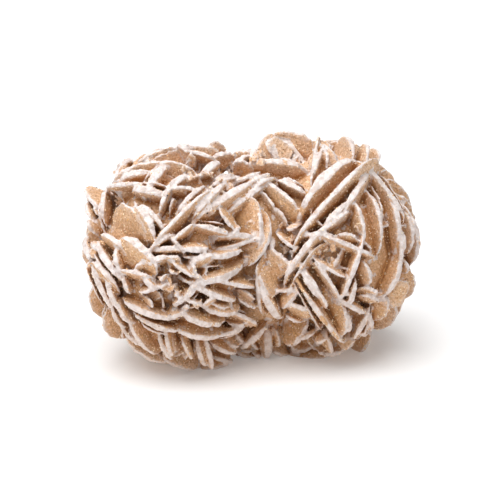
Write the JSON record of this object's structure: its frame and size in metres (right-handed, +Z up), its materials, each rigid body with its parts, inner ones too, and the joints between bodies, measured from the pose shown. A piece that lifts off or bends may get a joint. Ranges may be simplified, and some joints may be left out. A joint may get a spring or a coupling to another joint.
{
  "type": "gypsum sand rose",
  "caption": "Natural cluster of flat lens-shaped gypsum crystals that grew into each other in two rounded lobes, a collector's mineral specimen that rests on a shelf.",
  "frame": {"origin": "on the surface the rose rests on, below the middle of its bounding box", "axes": "+X along the two lobes, +Y away from the show side, +Z up"},
  "size_m": [0.0846, 0.0582, 0.056],
  "materials": {
    "gypsum": "matt sandy tan faces with a fine sugary grain, frosty cream-white rims, deep brown crevices"
  },
  "bodies": {
    "root": {"sand_rose": "gypsum"}
  },
  "joints": []
}
